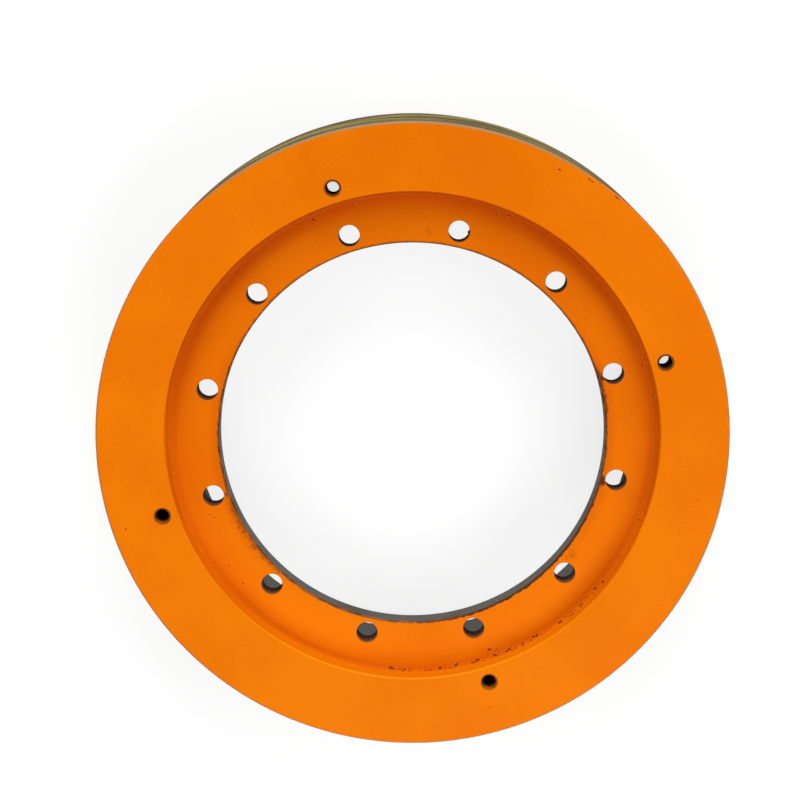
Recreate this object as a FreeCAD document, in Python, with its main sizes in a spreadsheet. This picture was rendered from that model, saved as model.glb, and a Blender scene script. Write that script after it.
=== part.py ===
import FreeCAD, Part
import math
import os

import Sketcher

# A one-piece grooved ring for a wire rope drive. The ring lies on its rear rim face with its
# recessed front face up: Z is the ring's axis and Z = 0 is the rear rim face. One threaded hole
# and one bolt hole lie on the +X side, and both hole circles are counted from there.

doc = FreeCAD.newDocument("wire_rope_sheave")
sheet = doc.addObject("Spreadsheet::Sheet", "Sizes")

# Driving sizes in millimetres and degrees, each with what it measures
drivingSizes = [
    ("bore_diameter", 320, "open middle of the ring"),
    ("bore_chamfer", 0.8, "both edges of the bore"),
    ("flange_width", 30, "bore wall out to the hub seat wall"),
    ("flange_thickness", 21, "mounting flange between the two recesses"),
    ("hub_seat_root_radius", 3, "fillet at the foot of the hub seat"),
    ("hub_seat_chamfer", 2, "lead-in at the mouth of the hub seat"),
    ("recess_step", 12.5, "hub seat wall out to the front recess wall"),
    ("recess_depth", 21, "front rim face down to the flange"),
    ("recess_root_radius", 4, "fillet at the foot of the front recess"),
    ("recess_lip_radius", 1.5, "rounded upper edge of the front recess"),
    ("face_plate_thickness", 28, "front rim face to the floor of the cored channel"),
    ("seat_wall_thickness", 14.5, "hub seat wall out to the mouth of the cored channel"),
    ("channel_mouth_width", 24, "cored channel at the rear rim face"),
    ("channel_draft_angle", 3, "taper of each channel wall"),
    ("channel_root_radius", 4, "fillets at the floor of the channel"),
    ("channel_mouth_radius", 2, "rounded edges at the mouth of the channel"),
    ("groove_wall_thickness", 14.5, "mouth of the channel out to the undercuts"),
    ("rope_diameter", 12, "wire rope that the grooves take"),
    ("rope_clearance", 0.5, "groove seat radius over the rope's radius"),
    ("groove_count", 5, "ropes side by side"),
    ("groove_pitch", 20, "middle of one groove to the next"),
    ("groove_edge_distance", 15, "each rim face to the middle of the nearest groove"),
    ("groove_depth", 14.5, "land down to the bottom of the rope seat"),
    ("groove_flare_angle", 12, "slope of each groove flank"),
    ("undercut_width", 5, "slot in the bottom of the rope seat"),
    ("undercut_depth", 2.5, "slot below the rope seat"),
    ("land_edge_radius", 0.8, "rounded edges of the lands"),
    ("rim_chamfer", 1.6, "both outer edges of the rim"),
    ("bolt_count", 12, "hub bolts"),
    ("bolt_edge_distance", 13.5, "bore wall out to the circle of the bolt holes"),
    ("bolt_hole_diameter", 17.5, "clearance for a 16 mm bolt"),
    ("jack_count", 4, "threaded holes for jacking and lifting"),
    ("jack_edge_distance", 13.5, "front recess wall out to the circle of the threaded holes"),
    ("jack_thread_diameter", 12, "coarse thread in those holes"),
    ("jack_thread_pitch", 1.75, "coarse thread in those holes"),
    ("jack_countersink_diameter", 14.4, "mouth of those holes"),
]
for row, (alias, value, meaning) in enumerate(drivingSizes, start=1):
    sheet.set(f"A{row}", meaning)
    sheet.set(f"B{row}", str(value))
    sheet.setAlias(f"B{row}", alias)
doc.recompute()

# Radii and heights worked out from the driving sizes, as expressions that stay live in the model
boreRadius = "Sizes.bore_diameter / 2"
hubSeatRadius = f"{boreRadius} + Sizes.flange_width"
recessRadius = f"{hubSeatRadius} + Sizes.recess_step"
channelInnerMouth = f"{hubSeatRadius} + Sizes.seat_wall_thickness"
channelOuterMouth = f"{channelInnerMouth} + Sizes.channel_mouth_width"
undercutRadius = f"{channelOuterMouth} + Sizes.groove_wall_thickness"
rimRadius = f"{undercutRadius} + Sizes.undercut_depth + Sizes.groove_depth"
lowestGroove = "Sizes.groove_edge_distance"
rimFront = "2 * Sizes.groove_edge_distance + (Sizes.groove_count - 1) * Sizes.groove_pitch"
flangeFront = f"{rimFront} - Sizes.recess_depth"
flangeRear = f"{flangeFront} - Sizes.flange_thickness"
channelFloor = f"{rimFront} - Sizes.face_plate_thickness"
channelTaper = f"({channelFloor}) * tan(Sizes.channel_draft_angle * 1 deg)"
channelInnerFloor = f"{channelInnerMouth} + {channelTaper}"
channelOuterFloor = f"{channelOuterMouth} - {channelTaper}"
seatRadius = "Sizes.rope_diameter / 2 + Sizes.rope_clearance"
seatMiddleRadius = f"{rimRadius} - Sizes.groove_depth + {seatRadius}"
boltCircleRadius = f"{boreRadius} + Sizes.bolt_edge_distance"
jackCircleRadius = f"{recessRadius} + Sizes.jack_edge_distance"

# The groove profile is drawn this far past the lands, so that its cut leaves no skin
grooveOverrun = 4.0
lengthTolerance = 1e-4


def amount(expression):
    return float(sheet.evalExpression(expression))


def bind(item, prop, expression):
    item.setExpression(prop, expression)


def nearly(first, second):
    return abs(first - second) < lengthTolerance


# Ring body and its reference planes
ring = doc.addObject("PartDesign::Body", "SheaveRing")
ring.Label = "sheave_ring"
ring.Placement = FreeCAD.Placement()


def originItem(role):
    return next(item for item in ring.Origin.OriginFeatures if item.Role == role)


def newSketch(name, planeRole):
    sketch = ring.newObject("Sketcher::SketchObject", name)
    sketch.AttachmentSupport = [(originItem(planeRole), "")]
    sketch.MapMode = "FlatFace"
    return sketch


def dimension(sketch, kind, geometry, expression):
    index = sketch.addConstraint(Sketcher.Constraint(kind, *geometry, amount(expression)))
    bind(sketch, f"Constraints[{index}]", expression)


# Half section of the ring without grooves, holes and edge breaks: radius across, height up
def drawRingSection():
    sketch = newSketch("RingSection", "XZ_Plane")
    onRearFace = None
    corners = [
        (boreRadius, flangeRear),
        (hubSeatRadius, flangeRear),
        (hubSeatRadius, onRearFace),
        (channelInnerMouth, onRearFace),
        (channelInnerFloor, channelFloor),
        (channelOuterFloor, channelFloor),
        (channelOuterMouth, onRearFace),
        (rimRadius, onRearFace),
        (rimRadius, rimFront),
        (recessRadius, rimFront),
        (recessRadius, flangeFront),
        (boreRadius, flangeFront),
    ]
    places = []
    for radius, height in corners:
        up = 0.0 if height is onRearFace else amount(height)
        places.append(FreeCAD.Vector(amount(radius), up, 0))
    for number, place in enumerate(places):
        sketch.addGeometry(Part.LineSegment(place, places[(number + 1) % len(places)]), False)
    for number in range(len(places)):
        following = (number + 1) % len(places)
        sketch.addConstraint(Sketcher.Constraint("Coincident", number, 2, following, 1))
    for number, (radius, height) in enumerate(corners):
        dimension(sketch, "DistanceX", (-1, 1, number, 1), radius)
        if height is onRearFace:
            sketch.addConstraint(Sketcher.Constraint("PointOnObject", number, 1, -1))
        else:
            dimension(sketch, "DistanceY", (-1, 1, number, 1), height)
    return sketch


# Profile of one rope groove: flared flanks, a round seat and an undercut slot
def drawGrooveSection():
    sketch = newSketch("GrooveSection", "XZ_Plane")
    middle = FreeCAD.Vector(amount(seatMiddleRadius), amount(lowestGroove), 0)
    seat = amount(seatRadius)
    flare = math.radians(amount("Sizes.groove_flare_angle"))
    halfSlot = amount("Sizes.undercut_width") / 2
    slotTurn = math.asin(halfSlot / seat)
    outside = amount(rimRadius) + grooveOverrun
    slotFloor = amount(undercutRadius)
    flankFoot = FreeCAD.Vector(-math.sin(flare), math.cos(flare), 0) * seat
    halfMouth = flankFoot.y + (outside - middle.x - flankFoot.x) * math.tan(flare)
    slotMouth = -seat * math.cos(slotTurn)

    def upper(across, up):
        return FreeCAD.Vector(middle.x + across, middle.y + up, 0)

    def lower(across, up):
        return FreeCAD.Vector(middle.x + across, middle.y - up, 0)

    seatCircle = Part.Circle(middle, FreeCAD.Vector(0, 0, 1), seat)
    mouthAcross = outside - middle.x
    floorAcross = slotFloor - middle.x
    pieces = [
        Part.LineSegment(lower(mouthAcross, halfMouth), upper(mouthAcross, halfMouth)),
        Part.LineSegment(upper(mouthAcross, halfMouth), upper(flankFoot.x, flankFoot.y)),
        Part.ArcOfCircle(seatCircle, math.pi / 2 + flare, math.pi - slotTurn),
        Part.LineSegment(upper(slotMouth, halfSlot), upper(floorAcross, halfSlot)),
        Part.LineSegment(upper(floorAcross, halfSlot), lower(floorAcross, halfSlot)),
        Part.LineSegment(lower(floorAcross, halfSlot), lower(slotMouth, halfSlot)),
        Part.ArcOfCircle(seatCircle, math.pi + slotTurn, 3 * math.pi / 2 - flare),
        Part.LineSegment(lower(flankFoot.x, flankFoot.y), lower(mouthAcross, halfMouth)),
    ]
    mouth, upperFlank, upperSeat, upperSide, slotEnd, lowerSide, lowerSeat, lowerFlank = range(8)
    for piece in pieces:
        sketch.addGeometry(piece, False)
    centreLine = sketch.addGeometry(Part.LineSegment(middle, upper(mouthAcross, 0)), True)
    start, end, centre = 1, 2, 3

    def constrain(kind, *geometry):
        sketch.addConstraint(Sketcher.Constraint(kind, *geometry))

    constrain("Coincident", mouth, end, upperFlank, start)
    constrain("Tangent", upperFlank, end, upperSeat, start)
    constrain("Coincident", upperSeat, end, upperSide, start)
    constrain("Coincident", upperSide, end, slotEnd, start)
    constrain("Coincident", slotEnd, end, lowerSide, start)
    constrain("Coincident", lowerSide, end, lowerSeat, start)
    constrain("Tangent", lowerSeat, end, lowerFlank, start)
    constrain("Coincident", lowerFlank, end, mouth, start)
    constrain("Coincident", upperSeat, centre, lowerSeat, centre)
    constrain("Coincident", centreLine, start, upperSeat, centre)
    constrain("PointOnObject", centreLine, end, mouth)
    constrain("Horizontal", centreLine)
    constrain("Horizontal", upperSide)
    constrain("Horizontal", lowerSide)
    constrain("Symmetric", slotEnd, start, slotEnd, end, centreLine)
    constrain("Symmetric", mouth, end, mouth, start, centreLine)
    dimension(sketch, "DistanceX", (-1, 1, upperSeat, centre), seatMiddleRadius)
    dimension(sketch, "DistanceY", (-1, 1, upperSeat, centre), lowestGroove)
    dimension(sketch, "Radius", (upperSeat,), seatRadius)
    dimension(sketch, "DistanceY", (slotEnd, end, slotEnd, start), "Sizes.undercut_width")
    dimension(sketch, "DistanceX", (-1, 1, slotEnd, end), undercutRadius)
    dimension(sketch, "DistanceX", (-1, 1, mouth, start), f"{rimRadius} + {grooveOverrun}")
    flareIndex = sketch.addConstraint(
        Sketcher.Constraint("Angle", centreLine, start, upperFlank, end, flare))
    bind(sketch, f"Constraints[{flareIndex}]", "Sizes.groove_flare_angle * 1 deg")
    return sketch


# One hole outline on the +X side, at a given height
def drawHole(name, height, circleRadius, holeDiameter):
    sketch = newSketch(name, "XY_Plane")
    bind(sketch, ".AttachmentOffset.Base.z", height)
    middle = FreeCAD.Vector(amount(circleRadius), 0, 0)
    outline = Part.Circle(middle, FreeCAD.Vector(0, 0, 1), amount(holeDiameter) / 2)
    circle = sketch.addGeometry(outline, False)
    sketch.addConstraint(Sketcher.Constraint("PointOnObject", circle, 3, -1))
    dimension(sketch, "DistanceX", (-1, 1, circle, 3), circleRadius)
    dimension(sketch, "Diameter", (circle,), holeDiameter)
    return sketch


def recomputed(feature):
    doc.recompute()
    if feature.Shape.isNull() or not feature.Shape.isValid():
        raise RuntimeError(f"{feature.Name} made no valid shape")
    return feature


def takesMetalAway(feature, before):
    after = recomputed(feature).Shape.Volume
    if after >= before - lengthTolerance:
        raise RuntimeError(f"{feature.Name} cut nothing")
    return after


# Whole circles about the axis at one radius, at one height or strictly between two
def ringEdges(shape, radius, lowest, highest):
    found = []
    for number, edge in enumerate(shape.Edges, start=1):
        if not isinstance(edge.Curve, Part.Circle) or not nearly(edge.Curve.Radius, radius):
            continue
        height = edge.Curve.Center.z
        if nearly(lowest, highest) and nearly(height, lowest):
            found.append(f"Edge{number}")
        if lowest + lengthTolerance < height < highest - lengthTolerance:
            found.append(f"Edge{number}")
    return found


def breakEdges(kind, name, sizeAlias, circles):
    base = ring.Tip
    edges = []
    for radius, lowest, highest in circles:
        edges += ringEdges(base.Shape, radius, lowest, highest)
    feature = ring.newObject(kind, name)
    feature.Base = (base, edges)
    bind(feature, "Size" if kind.endswith("Chamfer") else "Radius", f"Sizes.{sizeAlias}")
    recomputed(feature)


# Turned form of the ring
section = drawRingSection()
turned = ring.newObject("PartDesign::Revolution", "TurnedRing")
turned.Profile = section
turned.ReferenceAxis = (section, ["V_Axis"])
turned.Angle = 360
volume = recomputed(turned).Shape.Volume

# Rope grooves side by side across the rim
grooveSection = drawGrooveSection()
ropeGroove = ring.newObject("PartDesign::Groove", "RopeGroove")
ropeGroove.Profile = grooveSection
ropeGroove.ReferenceAxis = (grooveSection, ["V_Axis"])
ropeGroove.Angle = 360
volume = takesMetalAway(ropeGroove, volume)
if amount("Sizes.groove_count") > 1:
    ropeGrooves = ring.newObject("PartDesign::LinearPattern", "RopeGrooves")
    ropeGrooves.Originals = [ropeGroove]
    ropeGrooves.Direction = (grooveSection, ["V_Axis"])
    ropeGrooves.Mode = "Spacing"
    bind(ropeGrooves, "Offset", "Sizes.groove_pitch")
    bind(ropeGrooves, "Occurrences", "Sizes.groove_count")
    ring.Tip = ropeGrooves
    volume = takesMetalAway(ropeGrooves, volume)

# Rounded and chamfered edges of the turned form
front = amount(rimFront)
flangeTop = amount(flangeFront)
flangeUnder = amount(flangeRear)
floorHeight = amount(channelFloor)
breakEdges("PartDesign::Fillet", "RecessRoot", "recess_root_radius",
           [(amount(recessRadius), flangeTop, flangeTop)])
breakEdges("PartDesign::Fillet", "RecessLip", "recess_lip_radius",
           [(amount(recessRadius), front, front)])
breakEdges("PartDesign::Fillet", "HubSeatRoot", "hub_seat_root_radius",
           [(amount(hubSeatRadius), flangeUnder, flangeUnder)])
breakEdges("PartDesign::Fillet", "ChannelRoot", "channel_root_radius",
           [(amount(channelInnerFloor), floorHeight, floorHeight),
            (amount(channelOuterFloor), floorHeight, floorHeight)])
breakEdges("PartDesign::Fillet", "ChannelMouth", "channel_mouth_radius",
           [(amount(channelInnerMouth), 0, 0), (amount(channelOuterMouth), 0, 0)])
breakEdges("PartDesign::Fillet", "LandEdges", "land_edge_radius",
           [(amount(rimRadius), 0, front)])
breakEdges("PartDesign::Chamfer", "RimEdges", "rim_chamfer",
           [(amount(rimRadius), 0, 0), (amount(rimRadius), front, front)])
breakEdges("PartDesign::Chamfer", "BoreEdges", "bore_chamfer",
           [(amount(boreRadius), flangeTop, flangeTop),
            (amount(boreRadius), flangeUnder, flangeUnder)])
breakEdges("PartDesign::Chamfer", "HubSeatMouth", "hub_seat_chamfer",
           [(amount(hubSeatRadius), 0, 0)])
volume = ring.Tip.Shape.Volume


# A drilled hole from above and its copies about the axis
def drillCircle(name, height, circleRadius, holeDiameter, countAlias, countersink=None):
    global volume
    outline = drawHole(f"{name}Outline", height, circleRadius, holeDiameter)
    doc.recompute()
    hole = ring.newObject("PartDesign::Hole", f"{name}Hole")
    hole.Profile = outline
    hole.DepthType = "ThroughAll"
    hole.ThreadType = "None"
    bind(hole, "Diameter", holeDiameter)
    if countersink:
        hole.HoleCutType = "Countersink"
        hole.HoleCutCustomValues = True
        hole.HoleCutCountersinkAngle = 90
        bind(hole, "HoleCutDiameter", countersink)
    volume = takesMetalAway(hole, volume)
    circle = ring.newObject("PartDesign::PolarPattern", f"{name}Circle")
    circle.Originals = [hole]
    circle.Axis = (outline, ["N_Axis"])
    circle.Angle = 360
    bind(circle, "Occurrences", f"Sizes.{countAlias}")
    ring.Tip = circle
    volume = takesMetalAway(circle, volume)


# Bolt holes through the flange, and tap-drilled holes through the face plate into the channel
drillCircle("Bolt", flangeFront, boltCircleRadius, "Sizes.bolt_hole_diameter", "bolt_count")
drillCircle("Jack", rimFront, jackCircleRadius,
            "Sizes.jack_thread_diameter - Sizes.jack_thread_pitch", "jack_count",
            countersink="Sizes.jack_countersink_diameter")

# Everything is checked before the part is written
doc.recompute()
for item in doc.Objects:
    if "Invalid" in item.State or "Error" in item.State:
        raise RuntimeError(f"{item.Name} is in a failed state: {item.State}")
shape = ring.Shape
if shape.isNull() or not shape.isValid() or len(shape.Solids) != 1:
    raise RuntimeError("the ring is not one valid solid")

ironDensity = 7.2e-6
print("volume", round(shape.Volume), "mm3, mass about", round(shape.Volume * ironDensity, 1), "kg")
os.makedirs("parts", exist_ok=True)
shape.exportStep(f"parts/{ring.Label}.step")
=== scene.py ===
import bpy
import math
from mathutils import Matrix, Vector


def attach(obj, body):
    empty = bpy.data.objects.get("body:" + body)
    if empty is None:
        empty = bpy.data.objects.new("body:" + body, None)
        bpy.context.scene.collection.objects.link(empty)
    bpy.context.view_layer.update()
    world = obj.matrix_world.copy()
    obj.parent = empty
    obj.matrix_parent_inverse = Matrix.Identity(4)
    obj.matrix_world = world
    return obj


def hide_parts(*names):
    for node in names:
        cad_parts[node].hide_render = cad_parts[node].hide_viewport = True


# A grooved iron ring for a wire rope drive, painted orange on its front and bare where it works.
# It lies on a pale floor with its recessed face up. Lengths are in metres, angles in degrees.

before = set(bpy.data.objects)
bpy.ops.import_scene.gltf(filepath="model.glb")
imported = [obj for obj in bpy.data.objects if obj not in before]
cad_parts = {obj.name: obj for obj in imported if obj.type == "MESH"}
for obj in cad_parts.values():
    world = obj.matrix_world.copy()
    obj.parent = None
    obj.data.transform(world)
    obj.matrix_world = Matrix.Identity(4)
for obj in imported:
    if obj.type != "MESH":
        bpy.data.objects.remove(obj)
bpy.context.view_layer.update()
print("frame loaded:", ", ".join(sorted(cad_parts)))

photoTop = 72.71  # angle from +X that is at the top of the picture; clock angles go clockwise from it


def plug(term, socket):
    # a link where the term is a wrapped socket, and otherwise a plain value
    if isinstance(term, Wire):
        socket.id_data.links.new(term.socket, socket)
    else:
        socket.default_value = term


class Wire:
    # an output socket that takes part in Python sums; each sum adds its Math node
    def __init__(self, socket):
        self.socket = socket

    def maths(self, operation, *terms):
        node = self.socket.id_data.nodes.new("ShaderNodeMath")
        node.operation = operation
        for term, socket in zip(terms, node.inputs):
            plug(term, socket)
        return Wire(node.outputs[0])

    def own(self, operation):
        # a Math node that takes this value alone
        return self.maths(operation, self)

    def also(self, name):
        # another output of the same node
        return Wire(self.socket.node.outputs[name])

    def __add__(self, other):
        return self.maths("ADD", self, other)

    def __radd__(self, other):
        return self.maths("ADD", other, self)

    def __sub__(self, other):
        return self.maths("SUBTRACT", self, other)

    def __rsub__(self, other):
        return self.maths("SUBTRACT", other, self)

    def __mul__(self, other):
        return self.maths("MULTIPLY", self, other)

    def __rmul__(self, other):
        return self.maths("MULTIPLY", other, self)

    def __truediv__(self, other):
        return self.maths("DIVIDE", self, other)

    def __rtruediv__(self, other):
        return self.maths("DIVIDE", other, self)

    def __pow__(self, other):
        return self.maths("POWER", self, other)

    def __gt__(self, other):
        return self.maths("GREATER_THAN", self, other)

    def __lt__(self, other):
        return self.maths("LESS_THAN", self, other)

    def larger(self, other):
        return self.maths("MAXIMUM", self, other)

    def smaller(self, other):
        return self.maths("MINIMUM", self, other)

    def apart(self, other):
        # how far the two values are from each other
        return (self - other).own("ABSOLUTE")


class Bench:
    # one node tree that nodes are added to
    def __init__(self, tree):
        self.tree = tree

    def add(self, kind, settings=None, sockets=None):
        # a node of that kind: its settings first, then a value or a wire for each named socket
        node = self.tree.nodes.new(kind)
        for name, value in (settings or {}).items():
            setattr(node, name, value)
        for name, term in (sockets or {}).items():
            for one in term if isinstance(term, list) else [term]:
                plug(one, node.inputs[name])
        shown = [socket for socket in node.outputs if socket.enabled]
        return Wire(shown[0]) if shown else None

    def parts(self, vector):
        first = self.add("ShaderNodeSeparateXYZ", sockets={0: vector})
        return first, first.also("Y"), first.also("Z")

    def vector(self, x, y, z):
        return self.add("ShaderNodeCombineXYZ", sockets={"X": x, "Y": y, "Z": z})

    def noise(self, place, scale, detail=2.0, rough=0.5):
        return self.add("ShaderNodeTexNoise", sockets={
            "Vector": place, "Scale": scale, "Detail": detail, "Roughness": rough})

    def fade(self, value, start, end, low=0.0, high=1.0):
        # goes smoothly from low to high as the value goes from start to end
        return self.add("ShaderNodeMapRange", {"interpolation_type": "SMOOTHSTEP"}, {
            "Value": value, "From Min": start, "From Max": end, "To Min": low, "To Max": high})

    def blend(self, share, first, second):
        # one colour towards another
        return self.add("ShaderNodeMix", {"data_type": "RGBA"}, {0: share, 6: first, 7: second})


def colour(red, green, blue):
    return (red, green, blue, 1.0)


def newShapeTree(name, inputs):
    # a Geometry Nodes tree with named inputs, and the wires that come out of them
    tree = bpy.data.node_groups.new(name, "GeometryNodeTree")
    tree.interface.new_socket("Shape", in_out="INPUT", socket_type="NodeSocketGeometry")
    for label, value in inputs.items():
        kind = "Material" if isinstance(value, bpy.types.Material) else type(value).__name__.title()
        tree.interface.new_socket(label, in_out="INPUT", socket_type="NodeSocket" + kind)
    tree.interface.new_socket("Shape", in_out="OUTPUT", socket_type="NodeSocketGeometry")
    source = tree.nodes.new("NodeGroupInput")
    wires = {socket.name: Wire(socket) for socket in source.outputs if socket.name}
    return Bench(tree), wires


def keepUsedSlots(mesh):
    # one material slot for each finish in use, with none left empty
    used = sorted({face.material_index for face in mesh.polygons})
    indices = [used.index(face.material_index) for face in mesh.polygons]
    inUse = [finish for finish in mesh.materials if finish]
    mesh.materials.clear()
    for finish in inUse:
        mesh.materials.append(finish)
    mesh.polygons.foreach_set("material_index", indices)


def grownBy(bench, shape, inputs, start, name):
    # ends the tree, runs it on a start mesh and gives back a plain mesh object
    result = bench.tree.nodes.new("NodeGroupOutput")
    plug(shape, result.inputs["Shape"])
    carrier = bpy.data.objects.new(name + ".start", start)
    bpy.context.scene.collection.objects.link(carrier)
    modifier = carrier.modifiers.new(name, "NODES")
    modifier.node_group = bench.tree
    for item in bench.tree.interface.items_tree:
        if item.in_out == "INPUT" and item.name in inputs:
            modifier[item.identifier] = inputs[item.name]
    bpy.context.view_layer.update()
    seen = carrier.evaluated_get(bpy.context.evaluated_depsgraph_get())
    mesh = bpy.data.meshes.new_from_object(seen)
    mesh.name = name
    keepUsedSlots(mesh)
    bpy.data.objects.remove(carrier)
    made = bpy.data.objects.new(name, mesh)
    bpy.context.scene.collection.objects.link(made)
    return made


def settled(piece, sharpAngle):
    # smooth shading up to that angle, with flat faces kept flat by area-weighted normals
    for face in piece.data.polygons:
        face.use_smooth = True
    piece.data.set_sharp_from_angle(angle=math.radians(sharpAngle))
    weighted = piece.modifiers.new("weighted", "WEIGHTED_NORMAL")
    weighted.keep_sharp = True
    weighted.weight = 100
    seen = piece.evaluated_get(bpy.context.evaluated_depsgraph_get())
    mesh = bpy.data.meshes.new_from_object(seen)
    mesh.name = piece.name
    piece.modifiers.clear()
    piece.data = mesh
    return piece


def triangles(piece):
    return sum(len(face.vertices) - 2 for face in piece.data.polygons)


ringSizes = {
    "boreRadius": 0.160,
    "boreChamfer": 0.0008,
    "hubSeatRadius": 0.190,
    "hubSeatRoot": 0.003,
    "hubSeatLead": 0.002,
    "recessRadius": 0.2025,
    "recessRoot": 0.004,
    "recessLip": 0.0015,
    "channelInner": 0.2045,
    "channelOuter": 0.2285,
    "channelDraft": 3,
    "channelRoot": 0.004,
    "channelLip": 0.002,
    "rimRadius": 0.260,
    "rimChamfer": 0.0016,
    "front": 0.110,
    "flangeFront": 0.089,
    "flangeRear": 0.068,
    "channelFloor": 0.082,
    "grooves": 5,
    "groovePitch": 0.020,
    "lowestGroove": 0.015,
    "grooveDepth": 0.0145,
    "seatRadius": 0.0065,
    "flare": 12,
    "slotWidth": 0.005,
    "slotDepth": 0.0025,
    "slotFloorEdge": 0.0003,
    "slotMouthEdge": 0.0002,
    "seatSteps": 6,
    "landEdge": 0.0008,
    "boltHoles": 12,
    "boltCircle": 0.1735,
    "boltRadius": 0.00875,
    "boltEdge": 0.0004,
    "jackHoles": 4,
    "jackCircle": 0.216,
    "jackRadius": 0.006,
    "jackMouth": 0.0072,
    "stepsAround": 360,
    "holeSteps": 72,
    "sweepRadius": 0.200,
    "sharpAngle": 24,
}


def sectionMesh(sizes):
    # the ring's half section as corner points, each with its rounding; one groove stands apart
    s = sizes
    taper = s["channelFloor"] * math.tan(math.radians(s["channelDraft"]))
    seatMiddle = s["rimRadius"] - s["grooveDepth"] + s["seatRadius"]
    flare = math.radians(s["flare"])
    slotTurn = math.asin(s["slotWidth"] / 2 / s["seatRadius"])
    foot = (seatMiddle - s["seatRadius"] * math.sin(flare), s["seatRadius"] * math.cos(flare))
    mouth = foot[1] + (s["rimRadius"] - foot[0]) * math.tan(flare)
    halfPitch = s["groovePitch"] / 2
    topLand = s["lowestGroove"] + (s["grooves"] - 1) * s["groovePitch"] + halfPitch

    # radius, height, rounding, steps: one step is a chamfer
    plain = [
        (s["rimRadius"], topLand, 0, 0),
        (s["rimRadius"], s["front"], s["rimChamfer"], 1),
        (s["recessRadius"], s["front"], s["recessLip"], 5),
        (s["recessRadius"], s["flangeFront"], s["recessRoot"], 7),
        (s["boreRadius"], s["flangeFront"], s["boreChamfer"], 1),
        (s["boreRadius"], s["flangeRear"], s["boreChamfer"], 1),
        (s["hubSeatRadius"], s["flangeRear"], s["hubSeatRoot"], 5),
        (s["hubSeatRadius"], 0, s["hubSeatLead"], 1),
        (s["channelInner"], 0, s["channelLip"], 4),
        (s["channelInner"] + taper, s["channelFloor"], s["channelRoot"], 5),
        (s["channelOuter"] - taper, s["channelFloor"], s["channelRoot"], 5),
        (s["channelOuter"], 0, s["channelLip"], 4),
        (s["rimRadius"], 0, s["rimChamfer"], 1),
        (s["rimRadius"], s["lowestGroove"] - halfPitch, 0, 0),
    ]

    # half a groove from its mid-plane up: slot, round seat, flared flank, land edge, land
    slotFloor = s["rimRadius"] - s["grooveDepth"] - s["slotDepth"]
    slotMouth = seatMiddle - s["seatRadius"] * math.cos(slotTurn)
    half = [(slotFloor, s["slotWidth"] / 2, s["slotFloorEdge"], 2),
            (slotMouth, s["slotWidth"] / 2, s["slotMouthEdge"], 1)]
    for step in range(1, s["seatSteps"] + 1):
        turn = slotTurn + (math.pi / 2 - flare - slotTurn) * step / s["seatSteps"]
        half.append((seatMiddle - s["seatRadius"] * math.cos(turn), s["seatRadius"] * math.sin(turn), 0, 0))
    half.append((s["rimRadius"], mouth, s["landEdge"], 3))
    half.append((s["rimRadius"], halfPitch, 0, 0))
    groove = [(r, -z, rounding, steps) for r, z, rounding, steps in reversed(half)] + half

    mesh = bpy.data.meshes.new("ringSection")
    points, edges = [], []
    for line in (plain, groove):
        first = len(points)
        points += line
        edges += [(first + n, first + n + 1) for n in range(len(line) - 1)]
    # the sweep lays the section's Y axis downwards, so heights are negative here
    mesh.from_pydata([(r - s["sweepRadius"], -z, 0) for r, z, rounding, steps in points], edges, [])
    inGroove = mesh.attributes.new("inGroove", "FLOAT", "POINT")
    inGroove.data.foreach_set("value", [0.0] * len(plain) + [1.0] * len(groove))
    roundings = mesh.attributes.new("rounding", "FLOAT", "POINT")
    roundings.data.foreach_set("value", [point[2] for point in points])
    stepCounts = mesh.attributes.new("steps", "INT", "POINT")
    stepCounts.data.foreach_set("value", [point[3] for point in points])
    return mesh


def holePlug(bench, steps, outline):
    # a turned plug for one hole: four rings, each with its radius and height, from the bottom up
    base = bench.add("GeometryNodeMeshCylinder", sockets={
        "Vertices": steps, "Side Segments": 3, "Radius": 1.0, "Depth": 1.0})
    x, y, z = bench.parts(bench.add("GeometryNodeInputPosition"))
    ring = (z + 0.5) * 3 + 0.5
    radius = bench.add("GeometryNodeIndexSwitch", {"data_type": "FLOAT"}, {"Index": ring})
    height = bench.add("GeometryNodeIndexSwitch", {"data_type": "FLOAT"}, {"Index": ring})
    for switch, column in ((radius, 0), (height, 1)):
        node = switch.socket.node
        while len(node.index_switch_items) < len(outline):
            node.index_switch_items.new()
        for number, row in enumerate(outline):
            plug(row[column], node.inputs[number + 1])
    return bench.add("GeometryNodeSetPosition", sockets={
        "Geometry": base, "Position": bench.vector(x * radius, y * radius, height)})


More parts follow.
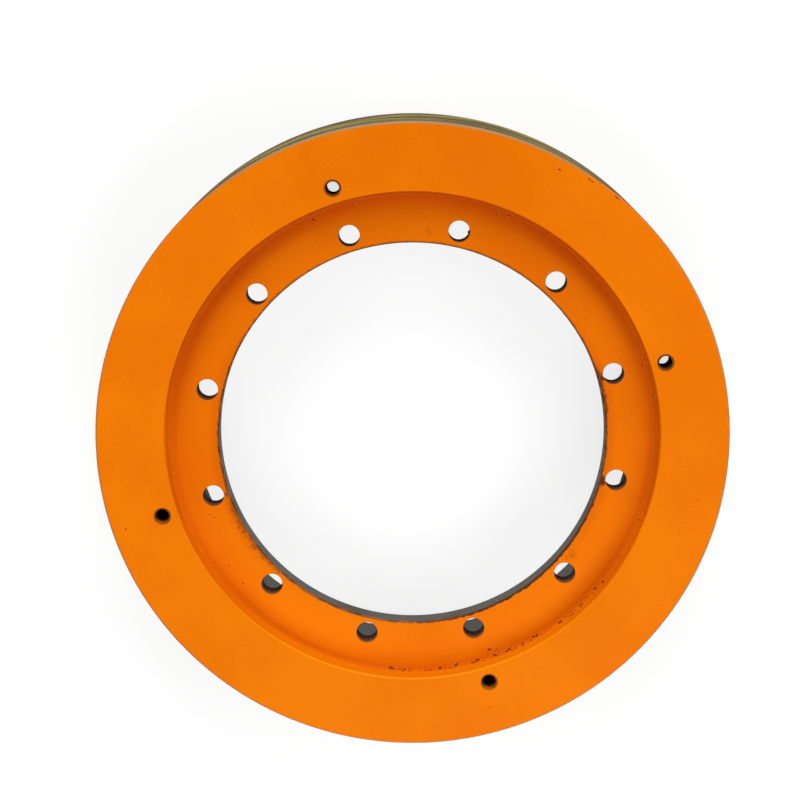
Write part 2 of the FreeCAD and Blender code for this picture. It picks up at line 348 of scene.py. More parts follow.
def makeRing(sizes, finishes):
    inputs = {
        "Steps Around": sizes["stepsAround"],
        "Sweep Radius": sizes["sweepRadius"],
        "Grooves": sizes["grooves"],
        "Groove Pitch": sizes["groovePitch"],
        "Lowest Groove": sizes["lowestGroove"],
        "Hole Steps": sizes["holeSteps"],
        "Bolt Holes": sizes["boltHoles"],
        "Bolt Circle": sizes["boltCircle"],
        "Bolt Radius": sizes["boltRadius"],
        "Bolt Edge": sizes["boltEdge"],
        "Jack Holes": sizes["jackHoles"],
        "Jack Circle": sizes["jackCircle"],
        "Jack Radius": sizes["jackRadius"],
        "Jack Mouth": sizes["jackMouth"],
        "Front": sizes["front"],
        "Flange Front": sizes["flangeFront"],
        "Flange Rear": sizes["flangeRear"],
        "Channel Floor": sizes["channelFloor"],
        "Paint From": sizes["boreRadius"] + sizes["boreChamfer"],
        "Paint To": sizes["rimRadius"] - sizes["rimChamfer"],
        "Recess To": sizes["recessRadius"] + sizes["recessRoot"],
        "Skin From": sizes["channelInner"] - sizes["channelLip"],
        "Skin To": sizes["channelOuter"] + sizes["channelLip"],
        "Paint": finishes["paint"],
        "Bare Iron": finishes["bare"],
        "Hole Wall": finishes["hole"],
        "Cast Skin": finishes["cast"],
    }
    bench, given = newShapeTree("grooved ring", inputs)

    # the groove is set side by side along the rim and joined to the rest of the section
    inGroove = bench.add("GeometryNodeInputNamedAttribute", {"data_type": "FLOAT"}, {"Name": "inGroove"})
    oneGroove = bench.add("GeometryNodeSeparateGeometry", {"domain": "POINT"}, {
        "Geometry": given["Shape"], "Selection": inGroove > 0.5})
    rest = oneGroove.also("Inverted")
    places = bench.add("GeometryNodeMeshLine", sockets={
        "Count": given["Grooves"],
        "Start Location": bench.vector(0.0, given["Lowest Groove"] * -1, 0.0),
        "Offset": bench.vector(0.0, given["Groove Pitch"] * -1, 0.0)})
    rows = bench.add("GeometryNodeInstanceOnPoints", sockets={"Points": places, "Instance": oneGroove})
    rows = bench.add("GeometryNodeRealizeInstances", sockets={"Geometry": rows})
    section = bench.add("GeometryNodeJoinGeometry", sockets={"Geometry": [rows, rest]})
    section = bench.add("GeometryNodeMergeByDistance", sockets={"Geometry": section, "Distance": 1e-5})
    section = bench.add("GeometryNodeMeshToCurve", sockets={"Mesh": section})
    rounding = bench.add("GeometryNodeInputNamedAttribute", {"data_type": "FLOAT"}, {"Name": "rounding"})
    steps = bench.add("GeometryNodeInputNamedAttribute", {"data_type": "INT"}, {"Name": "steps"})
    section = bench.add("GeometryNodeFilletCurve", {"mode": "POLY"}, {
        "Curve": section, "Count": steps, "Radius": rounding, "Limit Radius": True})

    # the section goes once round the axis
    path = bench.add("GeometryNodeCurvePrimitiveCircle", {"mode": "RADIUS"}, {
        "Resolution": given["Steps Around"], "Radius": given["Sweep Radius"]})
    path = bench.add("GeometryNodeSetCurveNormal", {"mode": "Z_UP"}, {"Curve": path})
    turned = bench.add("GeometryNodeCurveToMesh", sockets={"Curve": path, "Profile Curve": section})
    turned = bench.add("GeometryNodeMergeByDistance", sockets={"Geometry": turned, "Distance": 2e-6})
    turned = bench.add("GeometryNodeFlipFaces", sockets={"Mesh": turned})
    turned = bench.add("GeometryNodeSetMaterial", sockets={
        "Geometry": turned, "Material": given["Bare Iron"]})

    # which faces are painted and which keep their cast skin, by where their middles lie
    x, y, z = bench.parts(bench.add("GeometryNodeInputPosition"))
    radius = (x * x + y * y) ** 0.5
    slack = 0.0003
    inRecess = (z > given["Flange Front"] - slack) * (radius < given["Recess To"])
    painted = (z > given["Front"] - slack).larger(inRecess)
    painted = painted * (radius > given["Paint From"]) * (radius < given["Paint To"])
    offTheRearFace = 0.0001
    skin = (z < given["Channel Floor"] + slack) * (z > offTheRearFace)
    skin = skin * (radius > given["Skin From"]) * (radius < given["Skin To"])
    turned = bench.add("GeometryNodeSetMaterial", sockets={
        "Geometry": turned, "Selection": skin, "Material": given["Cast Skin"]})
    turned = bench.add("GeometryNodeSetMaterial", sockets={
        "Geometry": turned, "Selection": painted, "Material": given["Paint"]})

    # plugs for the holes, a little past the faces that they cut
    past = 0.0004
    jackPast = 0.020
    edge = given["Bolt Edge"]
    boltPlug = holePlug(bench, given["Hole Steps"], [
        (given["Bolt Radius"] + edge + past, given["Flange Rear"] - past),
        (given["Bolt Radius"], given["Flange Rear"] + edge),
        (given["Bolt Radius"], given["Flange Front"] - edge),
        (given["Bolt Radius"] + edge + past, given["Flange Front"] + past)])
    sink = given["Jack Mouth"] - given["Jack Radius"]
    jackPlug = holePlug(bench, given["Hole Steps"], [
        (given["Jack Radius"], given["Channel Floor"] - jackPast),
        (given["Jack Radius"], given["Channel Floor"] - jackPast / 2),
        (given["Jack Radius"], given["Front"] - sink),
        (given["Jack Mouth"] + past, given["Front"] + past)])
    plugs = []
    for count, circle, tool in ((given["Bolt Holes"], given["Bolt Circle"], boltPlug),
                                (given["Jack Holes"], given["Jack Circle"], jackPlug)):
        spots = bench.add("GeometryNodeMeshCircle", sockets={"Vertices": count, "Radius": circle})
        tool = bench.add("GeometryNodeSetMaterial", sockets={
            "Geometry": tool, "Material": given["Hole Wall"]})
        plugs.append(bench.add("GeometryNodeInstanceOnPoints", sockets={"Points": spots, "Instance": tool}))
    holed = bench.add("GeometryNodeMeshBoolean", {"operation": "DIFFERENCE", "solver": "MANIFOLD"}, {
        "Mesh 1": turned, "Mesh 2": plugs})
    holed = bench.add("GeometryNodeRealizeInstances", sockets={"Geometry": holed})
    ring = grownBy(bench, holed, inputs, sectionMesh(sizes), "turned_ring")
    return settled(ring, sizes["sharpAngle"])


threadSizes = {
    "holes": ringSizes["jackHoles"],
    "circle": ringSizes["jackCircle"],
    "top": ringSizes["front"] - 0.0007,
    "length": 0.0285,
    "pitch": 0.00175,
    "rootRadius": 0.00604,
    "ridge": 0.00088,
    "rootWidth": 0.00152,
    "crestWidth": 0.0003,
    "stepsAround": 40,
    "runOut": 1.5,
    "leastRidge": 0.08,
    "sharpAngle": 35,
}


def makeThreads(sizes, finish):
    inputs = {
        "Holes": sizes["holes"],
        "Circle": sizes["circle"],
        "Foot": sizes["top"] - sizes["length"],
        "Length": sizes["length"],
        "Pitch": sizes["pitch"],
        "Root Radius": sizes["rootRadius"],
        "Ridge": sizes["ridge"],
        "Root Width": sizes["rootWidth"],
        "Crest Width": sizes["crestWidth"],
        "Steps Around": sizes["stepsAround"],
        "Run Out": sizes["runOut"],
        "Least Ridge": sizes["leastRidge"],
        "Finish": finish,
    }
    bench, given = newShapeTree("jack threads", inputs)
    turns = given["Length"] / given["Pitch"]
    path = bench.add("GeometryNodeCurveSpiral", sockets={
        "Resolution": given["Steps Around"], "Rotations": turns, "Start Radius": given["Root Radius"],
        "End Radius": given["Root Radius"], "Height": given["Length"]})
    path = bench.add("GeometryNodeSetCurveNormal", {"mode": "Z_UP"}, {"Curve": path})
    halfRoot, halfCrest = given["Root Width"] / 2, given["Crest Width"] / 2
    profile = bench.add("GeometryNodeCurvePrimitiveQuadrilateral", {"mode": "POINTS"}, {
        "Point 1": bench.vector(0.0, halfRoot * -1, 0.0),
        "Point 2": bench.vector(given["Ridge"], halfCrest * -1, 0.0),
        "Point 3": bench.vector(given["Ridge"], halfCrest, 0.0),
        "Point 4": bench.vector(0.0, halfRoot, 0.0)})
    along = bench.add("GeometryNodeSplineParameter")
    # the ridge dwindles over the last part of a turn at either end
    height = (along.smaller(1 - along) * turns * given["Run Out"] + given["Least Ridge"]).smaller(1.0)
    ridge = bench.add("GeometryNodeCurveToMesh", sockets={
        "Curve": path, "Profile Curve": profile, "Scale": height, "Fill Caps": True})
    ridge = bench.add("GeometryNodeTransform", sockets={
        "Geometry": ridge, "Translation": bench.vector(0.0, 0.0, given["Foot"])})
    ridge = bench.add("GeometryNodeSetMaterial", sockets={"Geometry": ridge, "Material": given["Finish"]})
    spots = bench.add("GeometryNodeMeshCircle", sockets={
        "Vertices": given["Holes"], "Radius": given["Circle"]})
    rows = bench.add("GeometryNodeInstanceOnPoints", sockets={"Points": spots, "Instance": ridge})
    rows = bench.add("GeometryNodeRealizeInstances", sockets={"Geometry": rows})
    empty = bpy.data.meshes.new("threadStart")
    return settled(grownBy(bench, rows, inputs, empty, "jack_threads"), sizes["sharpAngle"])


burrSizes = {
    "radius": 0.0013,
    "place": (0.09387, 0.14520, 0.0720),
    "stretch": (0.8, 1.0, 1.3),
    "lumps": 700.0,
    "lumpHeight": 1.6,
    "sharpAngle": 40,
}


def makeBurr(sizes, finish):
    # a burr that the drill left in the bolt hole at the top of the picture
    inputs = {
        "Radius": sizes["radius"],
        "Lumps": sizes["lumps"],
        "Lump Height": sizes["lumpHeight"],
        "Finish": finish,
    }
    bench, given = newShapeTree("drill burr", inputs)
    ball = bench.add("GeometryNodeMeshIcoSphere", sockets={"Radius": given["Radius"], "Subdivisions": 4})
    lump = bench.add("ShaderNodeTexNoise", sockets={"Scale": given["Lumps"], "Detail": 2.0})
    outward = bench.add("GeometryNodeInputNormal")
    swell = bench.add("ShaderNodeVectorMath", {"operation": "SCALE"}, {
        0: outward, "Scale": (lump - 0.5) * given["Radius"] * given["Lump Height"]})
    ball = bench.add("GeometryNodeSetPosition", sockets={"Geometry": ball, "Offset": swell})
    ball = bench.add("GeometryNodeTransform", sockets={
        "Geometry": ball, "Translation": sizes["place"], "Scale": sizes["stretch"]})
    ball = bench.add("GeometryNodeRealizeInstances", sockets={"Geometry": ball})
    ball = bench.add("GeometryNodeSetMaterial", sockets={"Geometry": ball, "Material": given["Finish"]})
    empty = bpy.data.meshes.new("burrStart")
    return settled(grownBy(bench, ball, inputs, empty, "drill_burr"), sizes["sharpAngle"])


def newFinish(name):
    material = bpy.data.materials.new(name)
    material.use_nodes = True
    material.node_tree.nodes.clear()
    return material, Bench(material.node_tree)


def endFinish(bench, look, relief, sockets):
    # the relief, surface and output that each finish ends in
    normal = bench.add("ShaderNodeBump", sockets={
        "Strength": look["reliefStrength"], "Distance": look["reliefDepth"], "Height": relief})
    surface = bench.add("ShaderNodeBsdfPrincipled", sockets={
        "Specular IOR Level": look["gloss"], "Normal": normal, **sockets})
    bench.add("ShaderNodeOutputMaterial", sockets={"Surface": surface})


def ownPlace(bench):
    return bench.add("ShaderNodeTexCoord").also("Object")


def ringPlace(bench):
    # a point's place on the ring, its radius, height, and angle from +X in degrees
    place = ownPlace(bench)
    x, y, z = bench.parts(place)
    radius = (x * x + y * y) ** 0.5
    angle = y.maths("ARCTAN2", y, x) * (180 / math.pi)
    return place, radius, z, angle


def streaks(bench, across, upright, around, detail=3.0, rough=0.6):
    # noise drawn out around the ring, from its radius, height and angle, each times a fineness
    return bench.noise(bench.vector(across, upright, around), 1.0, detail, rough)


def blot(bench, place, mark):
    # an oval mark on the ring, from sizes in mm: 1 in its middle, 0 at its edge and negative outside
    clock, radius, height, along, across = mark
    turn = math.radians(photoTop - clock)
    middle = (math.cos(turn) * radius / 1000, math.sin(turn) * radius / 1000, height / 1000)
    depth = 4
    oval = bench.add("ShaderNodeMapping", {"vector_type": "TEXTURE"}, {
        "Vector": place, "Location": middle, "Rotation": (0, 0, turn),
        "Scale": (across / 1000, along / 1000, depth / 1000)})
    return 1 - bench.add("ShaderNodeVectorMath", {"operation": "LENGTH"}, {0: oval}).also("Value")


def strongest(bench, place, marks):
    # the nearest mark counts, and far from all of them the value stays at -1
    most = blot(bench, place, marks[0])
    for mark in marks[1:]:
        most = most.larger(blot(bench, place, mark))
    return most.larger(-1.0)


paintLook = {
    "orange": (0.900, 0.208, 0.0010),
    "deeper": (0.850, 0.182, 0.0008),
    "paintedShade": (0.600, 0.081, 0.0004),
    "wallHighlight": (0.960, 0.262, 0.0015),
    "lipLit": (1.000, 0.275, 0.0030),
    "lipShade": (0.540, 0.080, 0.0004),
    "wornLitEdge": (0.440, 0.225, 0.066),
    "chipped": (0.330, 0.040, 0.0014),
    "liftedHighlight": (1.000, 0.330, 0.040),
    "oily": (0.065, 0.020, 0.008),
    "gloss": 0.035,
    "roughness": 0.42,
    "reliefStrength": 0.22,
    "reliefDepth": 0.00012,
    "toolLines": 1800,
    # how fine the patterns are, per metre
    "broadGrain": 11.0,
    "patchGrain": 210.0,
    "fineGrain": 420.0,
    "speckGrain": 520.0,
    "peelGrain": 900.0,
    # a mark breaks through where its pattern is above these, so a lower value makes it larger
    "chipFrom": 0.24,
    "liftedFrom": 0.06,
    "speckFrom": 0.54,
    "scratchFrom": 0.30,
    "liftedShare": 0.45,
    # clock angles where the outer edge is scuffed and lit (a painted highlight) and where the edge of the
    # bore is dirty
    "scuffedLitAt": -2.0,
    "wipedAt": 240.0,
    "rubbedAt": 77.0,
    "grimiestAt": 142.0,
    # marks: clock angle, radius, height, half length around and half width across, in mm
    "chips": [
        (160.6, 195.2, 89, 2.2, 2.0), (158.9, 197.6, 89, 2.0, 2.6), (159.6, 200.6, 90, 3.2, 1.8),
        (156.4, 201.0, 90, 4.6, 2.2), (152.6, 202.3, 91, 2.6, 1.6), (149.2, 201.4, 90, 2.8, 1.8),
        (146.9, 201.0, 90, 1.5, 1.1), (142.2, 202.1, 91, 2.8, 1.7), (138.7, 202.5, 94, 4.0, 2.2),
        (135.7, 202.3, 92, 3.4, 2.0), (130.6, 201.6, 90, 2.2, 1.4), (128.0, 201.9, 91, 2.6, 1.4),
        (164.9, 201.6, 90, 4.2, 1.6), (169.5, 201.0, 90, 3.0, 2.6), (173.4, 201.5, 90, 2.6, 1.6),
        (181.8, 201.5, 90, 2.6, 1.4), (184.9, 201.0, 90, 4.2, 2.0), (234.0, 190.1, 89, 1.2, 1.2),
        (249.5, 189.1, 89, 1.2, 1.2), (20.5, 196.6, 89, 1.7, 1.5), (23.1, 198.4, 89, 1.6, 1.3),
        (80.4, 201.4, 89, 1.8, 1.6), (72.5, 198.2, 89, 1.5, 1.2), (106.6, 201.6, 89, 1.8, 1.2),
        (110.8, 201.8, 89, 1.6, 1.1), (-13.4, 198.6, 89, 2.2, 1.4), (-20.5, 200.7, 89, 1.9, 1.4),
        (-24.1, 195.9, 89, 1.7, 1.6), (-26.0, 201.6, 89, 1.6, 1.2), (228.3, 190.2, 89, 1.2, 1.1),
        (248.2, 182.5, 89, 1.0, 1.0), (246.4, 184.0, 89, 1.0, 0.9), (247.0, 180.0, 89, 0.9, 0.9),
    ],
    "scratches": [
        (28.2, 250.5, 110, 3.5, 0.9), (33.8, 256.1, 110, 4.5, 1.0), (39.7, 258.0, 110, 4.5, 1.2),
        (164.1, 237.1, 110, 1.6, 0.7), (102.1, 240.3, 110, 1.2, 0.9), (252.4, 248.1, 110, 1.1, 1.0),
    ],
    "stains": [
        (72.8, 164.2, 89, 5.6, 3.8), (104.2, 162.4, 89, 6.2, 5.2),
    ],
    # smudges have their strength beside them
    "smudges": [
        ((127.5, 167.5, 89, 10.0, 6.5), 0.46), ((4.5, 170.0, 89, 7.0, 6.5), 0.22),
    ],
    # fine specks along the foot of the recess: two clock angles, and how far from its wall
    "specksFrom": 124,
    "specksTo": 188,
    "specksOffWall": 0.0006,
}


def makeOrangePaint(look, sizes):
    material, bench = newFinish("orangePaint")
    place, radius, height, angle = ringPlace(bench)
    broad = bench.noise(place, look["broadGrain"], detail=3.0)
    fine = bench.noise(place, look["fineGrain"], detail=3.0)
    speck = bench.noise(place, look["speckGrain"], detail=3.0, rough=0.6)
    patchy = bench.noise(place, look["patchGrain"], detail=4.0, rough=0.65)
    clock = photoTop - angle
    upward = (clock * (math.pi / 180)).own("COSINE")  # 1 at the top of the picture and -1 at its bottom
    onFront = height > sizes["front"] - 0.0005
    fromBore = radius - sizes["boreRadius"]
    fromWall = sizes["recessRadius"] - radius
    fromRim = sizes["rimRadius"] - radius

    # the coat itself, uneven where it was sprayed
    uneven = bench.fade(broad * 0.75 + fine * 0.25, 0.40, 0.62)
    coat = bench.blend(uneven, colour(*look["deeper"]), colour(*look["orange"]))

    # painted shade on the flange, in the shade colour: darker and redder towards the foot of the recess,
    # most of all at the top of the picture; also a dark line along the foot, darker towards the bore at the
    # sides, a little over the whole flange (least at the bottom) and on the front face near the top
    onFlange = bench.fade(height, sizes["flangeFront"] + 0.0035, sizes["flangeFront"] + 0.001)
    # painted shade cast by the recess wall, widest and strongest at the top of the picture
    shadeNearWall = bench.fade(fromWall, 0.0155 + upward * 0.009, 0.0025) * (upward * 0.28 + 0.56)
    footLine = bench.fade(fromWall.apart(0.0019), 0.0022, 0.0008, 0.0, 0.45)
    nearBore = bench.fade(fromBore, 0.018, 0.003, 0.0, 0.46) * bench.fade(upward.own("ABSOLUTE"), 0.9, 0.3)
    # painted shade over the whole flange, least at the bottom of the picture
    shadeOverFlange = bench.fade(upward, -1.0, -0.2, 0.04, 0.24)
    paintedShade = onFlange * shadeNearWall.larger(footLine).larger(nearBore).larger(shadeOverFlange)
    # painted shade on the front face near the top of the picture
    paintedShade = paintedShade.larger(bench.fade(upward, 0.75, 1.0, 0.0, 0.12) * onFront)
    coat = bench.blend(paintedShade, coat, colour(*look["paintedShade"]))

    # painted light on the recess wall and its lip: a painted highlight on the wall at the bottom of the
    # picture, a painted highlight on the lip at the bottom and painted shade on it at the top; the outer
    # edge is scuffed
    onWall = (fromWall < 0.0008) * (fromWall > -0.0016)
    onWall = onWall * bench.fade(height, sizes["flangeFront"] + 0.003, sizes["flangeFront"] + 0.005)
    coat = bench.blend(onWall * bench.fade(upward, -0.55, -0.95), coat, colour(*look["wallHighlight"]))
    onLip = onWall * (height > sizes["front"] - 0.0014)
    # painted highlight on the lip at the bottom of the picture, painted shade on it at the top
    coat = bench.blend(onLip * bench.fade(upward, -0.80, -0.93), coat, colour(*look["lipLit"]))
    coat = bench.blend(onLip * bench.fade(upward, -0.4, 0.5), coat, colour(*look["lipShade"]))
    # the tan band at the outer edge near the top of the picture: partly worn paint, partly a painted
    # highlight of the lit edge
    outer = bench.fade(fromRim - (fine - 0.5) * 0.0012, 0.0026, 0.0018, 0.0, 0.85)
    outer = outer * bench.fade(clock.apart(look["scuffedLitAt"]), 44, 30) * onFront
    coat = bench.blend(outer, coat, colour(*look["wornLitEdge"]))

    # oil and dirt wiped over the edge of the bore, stains and faint smudges
    smear = streaks(bench, radius * 160, height * 160, angle * 1.6, detail=4.0, rough=0.65)
    ragged = smear * 0.35 + patchy * 0.65
    wiped = bench.fade(clock.apart(look["wipedAt"]), 22, 10)
    rubbed = bench.fade(clock.apart(look["rubbedAt"]), 10, 4)
    edgeDirt = fromBore + (ragged - 0.5) * (wiped * 0.016 + rubbed * 0.004 + 0.004)
    edgeDirt = edgeDirt - wiped * 0.0012 - rubbed * 0.0006
    edgeDirt = bench.fade(edgeDirt, 0.0026 + (wiped + rubbed) * 0.0012, 0.0006)
    edgeDirt = edgeDirt * bench.fade(upward, -0.95, -0.55, 0.2, 1.0)
    edgeDirt = edgeDirt * bench.fade(upward, 0.3, 0.8, 1.0, 0.55)
    edgeDirt = edgeDirt * (0.85 - wiped * 0.30)
    halo = bench.fade(fromBore + (patchy - 0.5) * 0.02, 0.0080, 0.0010, 0.0, 0.22) * wiped
    stain = strongest(bench, place, look["stains"])
    oily = bench.fade(stain + (patchy - 0.5) * 2.2, 0.0, 0.70, 0.0, 0.94)
    darkest = bench.fade(clock.apart(look["grimiestAt"]), 45, 25)
    edgeLine = bench.fade(fromBore - darkest * 0.0003 + (patchy - 0.5) * 0.0040, 0.0019, 0.0012)
    edgeLine = edgeLine * (darkest * 0.50 + 0.45)
    dirt = oily.larger(edgeDirt).larger(halo).larger(edgeLine)
    for mark, share in look["smudges"]:
        smudge = blot(bench, place, mark) + (patchy - 0.5) * 3.0
        dirt = dirt.larger(bench.fade(smudge, 0.2, 1.3, 0.0, share))
    coat = bench.blend(dirt, coat, colour(*look["oily"]))

    # chips down to the primer, thickest in the foot of the recess, with a lifted rim of paint whose lighter
    # colour is a painted highlight
    chip = strongest(bench, place, look["chips"]) * 0.60 + (speck - 0.5) * 2.6
    middle = (look["specksFrom"] + look["specksTo"]) / 2
    halfSpan = (look["specksTo"] - look["specksFrom"]) / 2
    foot = bench.fade(fromWall.apart(look["specksOffWall"]), 0.0022, 0.0004)
    foot = foot * (height < sizes["flangeFront"] + sizes["recessRoot"])
    foot = foot * bench.fade(clock.apart(middle), halfSpan, halfSpan - 6) * bench.fade(patchy, 0.44, 0.56)
    scratch = strongest(bench, place, look["scratches"]) * 0.7 + (speck - 0.5) * 2.0
    chipped = (chip > look["chipFrom"]).larger(foot * (speck > look["speckFrom"]))
    chipped = chipped.larger(scratch > look["scratchFrom"])
    coat = bench.blend((chip > look["liftedFrom"]) * look["liftedShare"], coat, colour(*look["liftedHighlight"]))
    coat = bench.blend(chipped, coat, colour(*look["chipped"]))

    # the spray's fine peel, with the lathe's lines faintly under it
    peel = bench.noise(place, look["peelGrain"], detail=1.0)
    lines = streaks(bench, radius * look["toolLines"], height * look["toolLines"], angle * 0.02)
    roughness = look["roughness"] + (fine - 0.5) * 0.12 + chipped * 0.35 - oily * 0.1
    endFinish(bench, look, peel * 0.5 + lines * 0.2 + fine * 0.3, {
        "Base Color": coat, "Roughness": roughness})
    return material


ironLook = {
    "turned": (0.116, 0.113, 0.102),
    "rimOlive": (0.400, 0.325, 0.105),
    "rimBrown": (0.095, 0.060, 0.024),
    "litEdge": (0.360, 0.240, 0.110),
    "shadedEdge": (0.060, 0.024, 0.008),
    "grime": (0.022, 0.014, 0.008),
    "mist": (0.300, 0.095, 0.012),
    "mistDepth": 0.0065,
    "rust": (0.110, 0.060, 0.028),
    "metal": 0.35,
    "gloss": 0.3,
    "roughness": 0.44,
    "reliefStrength": 0.35,
    "reliefDepth": 0.00006,
    "toolLines": 2600,
    "broadGrain": 26.0,
    "fineGrain": 500.0,
    # measured inwards from the rim: the film of grease, the lands and where the paint stops
    "filmDepth": 0.0215,
    "landDepth": 0.0009,
    "paintStop": 0.0013,
}


def makeBareIron(look, sizes):
    material, bench = newFinish("bareIron")
    place, radius, height, angle = ringPlace(bench)
    lines = streaks(bench, radius * look["toolLines"], height * look["toolLines"], angle * 0.02)
    broad = bench.noise(place, look["broadGrain"], detail=4.0)
    fine = bench.noise(place, look["fineGrain"], detail=3.0)
    clock = photoTop - angle
    fromRim = sizes["rimRadius"] - radius

    # clean turned iron with a thin brown bloom
    brighter = colour(*[part * 1.5 for part in look["turned"]])
    iron = bench.blend(bench.fade(lines, 0.35, 0.65, 0.0, 0.30), colour(*look["turned"]), brighter)
    bloom = bench.fade(broad * 0.7 + fine * 0.3, 0.52, 0.66, 0.0, 0.45)
    iron = bench.blend(bloom, iron, colour(*look["rust"]))

    # the rim keeps an olive film of rope grease and rust in bands, with a painted highlight that makes it
    # lighter on the lands
    bands = streaks(bench, radius * 60, height * 62, angle * 0.018)
    landHighlight = bench.fade(fromRim, look["landDepth"] + 0.004, look["landDepth"], 0.0, 0.2)
    film = bench.fade(bands, 0.42, 0.58, 0.0, 0.8) + landHighlight
    film = film * bench.fade(height, 0.050, 0.085, 1.0, 0.45)
    rim = bench.blend(film, colour(*look["rimBrown"]), colour(*look["rimOlive"]))
    offTheRearFace = height > 0.0012
    iron = bench.blend((fromRim < look["filmDepth"]) * offTheRearFace, iron, rim)

    # the front chamfer of the rim: paint creeps over half of it; the rest has a painted highlight near the
    # top of the picture and painted shade elsewhere
    chamferSize = sizes["rimChamfer"] + 0.0001
    chamfer = (fromRim < chamferSize) * (height > sizes["front"] - chamferSize)
    aside = bench.fade(clock.apart(paintLook["scuffedLitAt"]), 30, 44)
    edge = bench.blend(aside, colour(*look["litEdge"]), colour(*look["shadedEdge"]))
    pastPaint = look["paintStop"] - fromRim - aside * 0.0010 - (fine - 0.5) * 0.0010
    creep = bench.fade(pastPaint, 0.0002, -0.0002)
    edge = bench.blend(creep, edge, colour(*paintLook["orange"]))
    iron = bench.blend(chamfer, iron, edge)

    # paint mist and grime on the front edge of the bore
    inBore = radius < sizes["boreRadius"] + 0.0012
    boreEdge = inBore * bench.fade(height, sizes["flangeFront"] - look["mistDepth"], sizes["flangeFront"])
    iron = bench.blend(boreEdge * 0.9, iron, colour(*look["mist"]))
    grimy = bench.fade(streaks(bench, radius * 100, height * 200, angle * 0.4, rough=0.5), 0.40, 0.60)
    grimy = grimy.larger(bench.fade(clock.apart(paintLook["grimiestAt"]), 45, 25, 0.0, 0.8))
    iron = bench.blend(boreEdge * boreEdge * grimy * 0.9, iron, colour(*look["grime"]))

    endFinish(bench, look, lines * 0.7 + fine * 0.3, {
        "Base Color": iron, "Metallic": look["metal"] * (1 - chamfer.larger(boreEdge)),
        "Roughness": look["roughness"] + (lines - 0.5) * 0.25 + bloom * 0.3})
    return material


holeLook = {
    "drilled": (0.100, 0.078, 0.058),
    "tapped": (0.030, 0.015, 0.008),
    "overspray": (0.700, 0.160, 0.006),
    "sprayDrilled": 0.019,
    "sprayTapped": 0.018,
    "gloss": 0.05,
    "roughness": 0.8,
    "reliefStrength": 0.4,
    "reliefDepth": 0.0001,
    "broadGrain": 90.0,
    "fineGrain": 520.0,
}


def makeHoleWall(look, sizes):
    # drilled walls, and tapped ones much darker; paint mist settles in their mouths
    material, bench = newFinish("holeWall")
    place, radius, height, angle = ringPlace(bench)
    fine = bench.noise(place, look["fineGrain"], detail=3.0)
    broad = bench.noise(place, look["broadGrain"])
    drilled = radius < sizes["recessRadius"]

    def eachKind(tappedValue, drilledValue):
        return tappedValue + (drilledValue - tappedValue) * drilled

    wall = bench.blend(drilled, colour(*look["tapped"]), colour(*look["drilled"]))
    wall = bench.blend(bench.fade(broad, 0.45, 0.65, 0.0, 0.4), wall, colour(*look["tapped"]))

    # where in its own hole a point lies, up the picture; the mist lies on the side of each hole that is
    # lower in the picture
    x, y = bench.parts(place)[:2]
    upTurn = math.radians(photoTop)
    upPicture = x * math.cos(upTurn) + y * math.sin(upTurn)
    apart = 360 / sizes["boltHoles"]  # both kinds of hole lie on multiples of this angle
    hole = (angle / apart).own("ROUND") * math.radians(apart)
    circle = eachKind(sizes["jackCircle"], sizes["boltCircle"])
    inHole = upPicture - circle * (hole - upTurn).own("COSINE")
    face = eachKind(sizes["front"], sizes["flangeFront"])
    reach = eachKind(look["sprayTapped"], look["sprayDrilled"])
    mist = bench.add("ShaderNodeMapRange", sockets={
        "Value": (height - face) / reach, "From Min": -1.0, "From Max": 0.15})
    mist = mist * bench.fade(inHole, 0.001, -0.006)
    mist = mist * mist * bench.fade(fine, 0.30, 0.60, 0.7, 1.0)
    # painted shade: holes higher in the picture, in the recess wall's shadow, get less mist and stay darker
    mist = mist * bench.fade(upPicture, 0.14, -0.14, 0.3, 1.0)
    mouth = (height > face - eachKind(0.0011, 0.0005)) * eachKind(0.5, 0.8)
    wall = bench.blend(mist.larger(mouth), wall, colour(*look["overspray"]))
    endFinish(bench, look, fine, {"Base Color": wall, "Roughness": look["roughness"]})
    return material


skinLook = {
    "dark": (0.042, 0.034, 0.029),
    "lighter": (0.085, 0.066, 0.050),
    "rust": (0.115, 0.048, 0.020),
    "gloss": 0.25,
    "roughness": 0.86,
    "reliefStrength": 0.8,
    "reliefDepth": 0.0004,
    "sandGrain": 760.0,
    "lumpGrain": 120.0,
    "broadGrain": 22.0,
}


def makeCastSkin(look):
    # sandy and uneven, with old rust
    material, bench = newFinish("castSkin")
    place = ownPlace(bench)
    sand = bench.noise(place, look["sandGrain"], detail=4.0, rough=0.62)
    lumps = bench.noise(place, look["lumpGrain"], detail=3.0)
    broad = bench.noise(place, look["broadGrain"], detail=3.0)
    skin = bench.blend(bench.fade(sand, 0.38, 0.64), colour(*look["dark"]), colour(*look["lighter"]))
    rusty = bench.fade(broad * 0.6 + lumps * 0.4, 0.50, 0.64, 0.0, 0.7)
    skin = bench.blend(rusty, skin, colour(*look["rust"]))
    endFinish(bench, look, sand * 0.6 + lumps * 1.2, {"Base Color": skin, "Roughness": look["roughness"]})
    return material


finishes = {
    "paint": makeOrangePaint(paintLook, ringSizes),
    "bare": makeBareIron(ironLook, ringSizes),
    "hole": makeHoleWall(holeLook, ringSizes),
    "cast": makeCastSkin(skinLook),
}
print("finishes:", ", ".join(finish.name for finish in finishes.values()))

ring = makeRing(ringSizes, finishes)
print("ring:", len(ring.data.vertices), "points,", triangles(ring), "triangles")
threads = makeThreads(threadSizes, finishes["hole"])
print("threads:", triangles(threads), "triangles")
burr = makeBurr(burrSizes, finishes["hole"])
print("burr:", triangles(burr), "triangles")

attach(ring, "root")
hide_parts("sheave_ring")
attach(threads, "root")
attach(burr, "root")

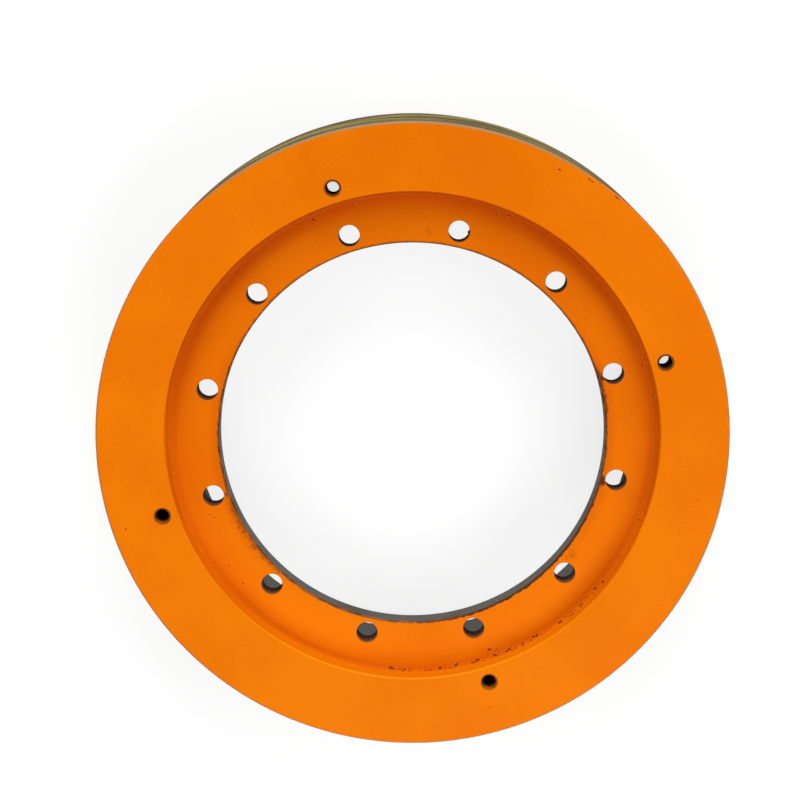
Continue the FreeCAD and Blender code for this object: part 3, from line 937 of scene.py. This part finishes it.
# the camera stands over the front face; its place is measured from the middle of that face
viewing = {
    "pitch": -10.444161,
    "roll": 0.254880,
    "place": (-0.00182, 0.37235, 1.83903),
    "lens": 103.05,
    "sensor": 36,
}


def placeCamera(settings):
    data = bpy.data.cameras.new("photoCamera")
    data.lens = settings["lens"]
    data.sensor_width = settings["sensor"]
    camera = bpy.data.objects.new("photoCamera", data)
    lift = Matrix.Translation((0, 0, ringSizes["front"]))
    turn = Matrix.Rotation(math.radians(photoTop - 90), 4, "Z")
    pitch = Matrix.Rotation(math.radians(settings["pitch"]), 4, "X")
    roll = Matrix.Rotation(math.radians(settings["roll"]), 4, "Y")
    camera.matrix_world = lift @ turn @ Matrix.Translation(settings["place"]) @ pitch @ roll
    bpy.context.scene.collection.objects.link(camera)
    bpy.context.scene.camera = camera


placeCamera(viewing)
print("camera placed")

floorLook = {
    "radius": 6,
    "corners": 72,
    "gap": 0.0002,
    "shade": (0.8, 0.8, 0.79),
    "seenShade": (0.32, 0.32, 0.32),
    "seenGlow": 0.76,
}


def makeFloor(look):
    mesh = bpy.data.meshes.new("floor")
    corners = []
    for number in range(look["corners"]):
        turn = math.radians(number * 360 / look["corners"])
        corners.append((math.cos(turn) * look["radius"], math.sin(turn) * look["radius"], -look["gap"]))
    mesh.from_pydata(corners, [], [list(range(len(corners)))])
    floor = bpy.data.objects.new("floor", mesh)
    bpy.context.scene.collection.objects.link(floor)

    # to the camera it glows, so that it comes out nearly white; the ring is lit by the plain shade
    material, bench = newFinish("paleFloor")
    seen = bench.add("ShaderNodeLightPath")
    shaded = bench.add("ShaderNodeBsdfDiffuse", sockets={"Color": colour(*look["shade"])})
    glow = bench.add("ShaderNodeEmission", sockets={"Color": colour(1, 1, 1), "Strength": look["seenGlow"]})
    dim = bench.add("ShaderNodeBsdfDiffuse", sockets={"Color": colour(*look["seenShade"])})
    bright = bench.add("ShaderNodeAddShader", sockets={0: glow, 1: dim})
    surface = bench.add("ShaderNodeMixShader", sockets={0: seen, 1: shaded, 2: bright})
    bench.add("ShaderNodeOutputMaterial", sockets={"Surface": surface})
    mesh.materials.append(material)


makeFloor(floorLook)

# bearing clockwise from the top of the photograph, rise, distance, width and power of each lamp
studioLights = {
    "topLight": (0, 31, 3.6, 2.6, 84),
    "frontLight": (168, 50, 1.9, 1.2, 14),
    "leftLight": (270, 45, 3.0, 1.6, 18),
    "rightLight": (90, 45, 3.0, 1.6, 22),
}
worldStrength = 0.13


def makeLight(name, bearing, rise, distance, size, power):
    angle = math.radians(photoTop - bearing)
    lift = math.radians(rise)
    flat = math.cos(lift)
    place = Vector((math.cos(angle) * flat, math.sin(angle) * flat, math.sin(lift))) * distance
    data = bpy.data.lights.new(name, "AREA")
    data.shape = "DISK"
    data.size = size
    data.energy = power
    light = bpy.data.objects.new(name, data)
    light.location = place
    light.rotation_euler = place.to_track_quat("Z", "Y").to_euler()
    bpy.context.scene.collection.objects.link(light)


for name, settings in studioLights.items():
    makeLight(name, *settings)

world = bpy.data.worlds.new("studio")
world.use_nodes = True
bpy.context.scene.world = world
background = world.node_tree.nodes["Background"]
background.inputs["Color"].default_value = colour(1, 1, 1)
background.inputs["Strength"].default_value = worldStrength
bpy.context.scene.view_settings.view_transform = "Standard"
print("studio lit")
